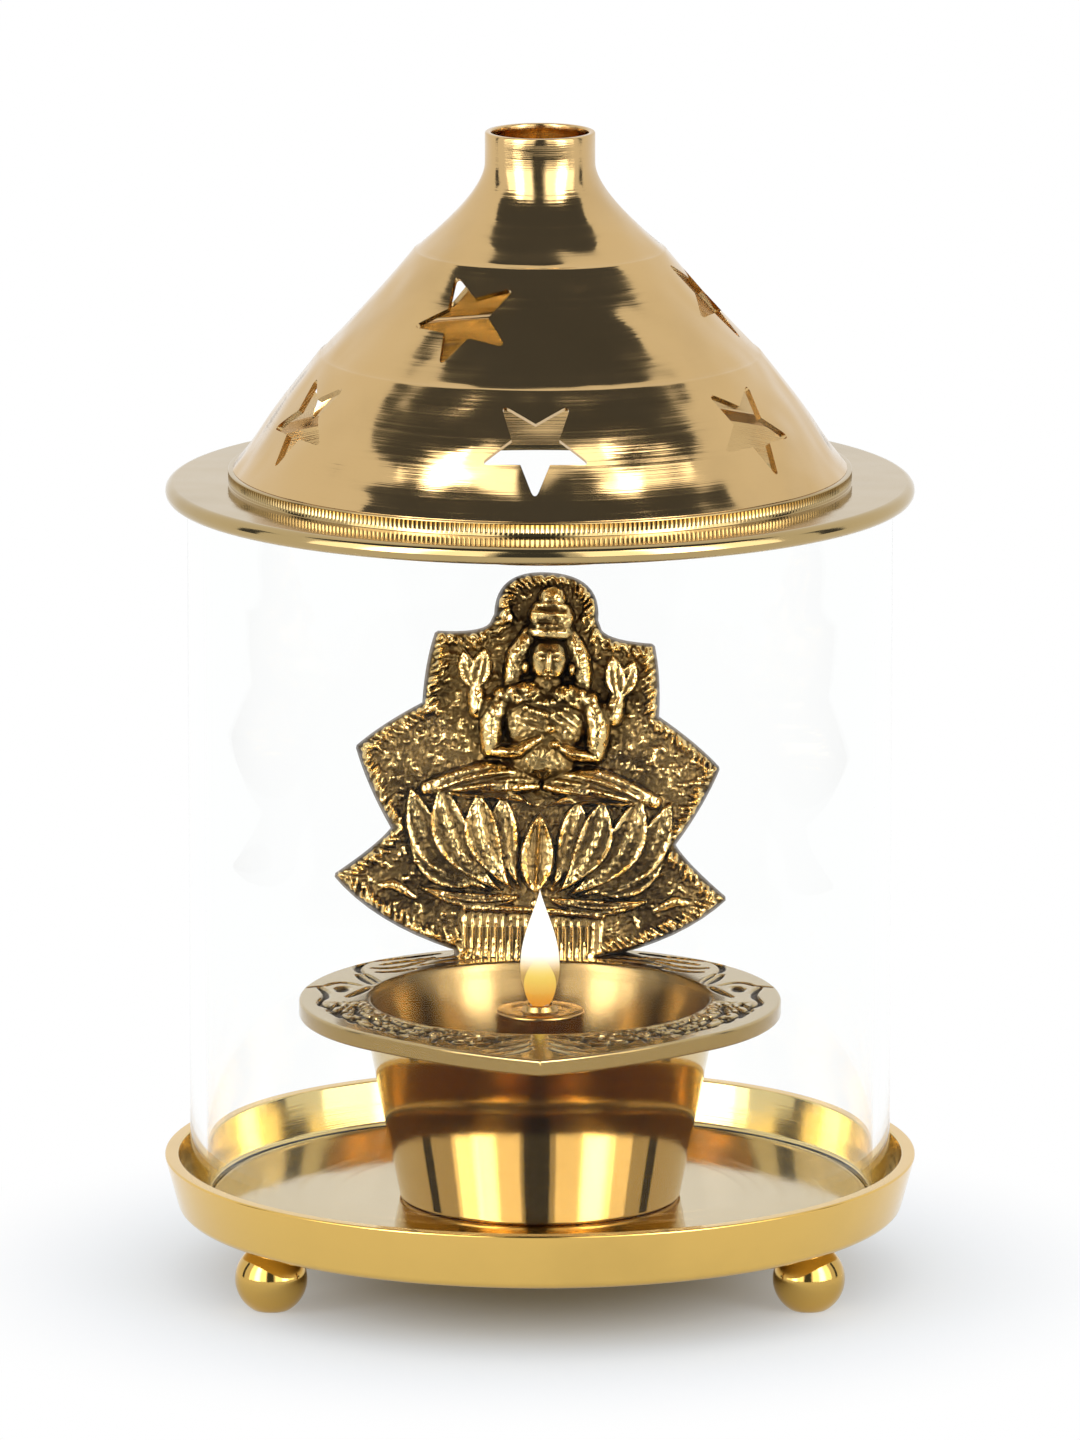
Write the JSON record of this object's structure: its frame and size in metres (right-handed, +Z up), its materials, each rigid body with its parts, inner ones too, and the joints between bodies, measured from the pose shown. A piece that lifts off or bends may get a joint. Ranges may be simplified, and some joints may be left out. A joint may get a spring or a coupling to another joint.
{
  "type": "akhand diya oil lamp",
  "caption": "Brass oil lamp: a leaf-rimmed cup with a lotus plaque and wick holder on a footed tray, under a glass chimney and a pierced conical lid that lift off.",
  "frame": {"origin": "on the table plane, under the axis of the tray", "axes": "+Z up along the axis of the tray, glass and lid; -Y is the front, where the tip of the leaf rim points"},
  "size_m": [0.1074, 0.1074, 0.1654],
  "materials": {
    "polished_brass": "turned and polished, fine lathe lines",
    "spun_brass": "spun sheet, lacquered, fine circular lines",
    "cast_brass": "cast, engraved and polished, dark in the cuts",
    "antique_brass": "cast relief, antiqued dark in the recesses",
    "clear_glass": "clear tube, ground ends",
    "cotton": "twisted cotton, charred at the tip"
  },
  "bodies": {
    "base": {"tray": "polished_brass", "front_left_foot": "polished_brass", "front_right_foot": "polished_brass", "rear_foot": "polished_brass", "foot_screws": "polished_brass"},
    "chimney": {"glass_chimney": "clear_glass"},
    "lid": {"lid_brim": "spun_brass", "lid_cone": "spun_brass"},
    "diya": {"diya_cup": "cast_brass", "lotus_plaque": "antique_brass", "plaque_rivets": "cast_brass"},
    "wick_holder": {"wick_holder": "polished_brass"},
    "wick": {"cotton_wick": "cotton"}
  },
  "joints": [
    {"name": "chimney_lift", "type": "slide", "parent": "base", "child": "chimney", "axis": [0, 0, 1], "range_m": [0, 0.12]},
    {"name": "lid_lift", "type": "slide", "parent": "chimney", "child": "lid", "axis": [0, 0, 1], "range_m": [0, 0.08]},
    {"name": "diya_lift", "type": "slide", "parent": "base", "child": "diya", "axis": [0, 0, 1], "range_m": [0, 0.016]},
    {"name": "wick_holder_lift", "type": "slide", "parent": "diya", "child": "wick_holder", "axis": [0, 0, 1], "range_m": [0, 0.045]},
    {"name": "wick_feed", "type": "slide", "parent": "wick_holder", "child": "wick", "axis": [0, 0, 1], "range_m": [0, 0.008]}
  ]
}
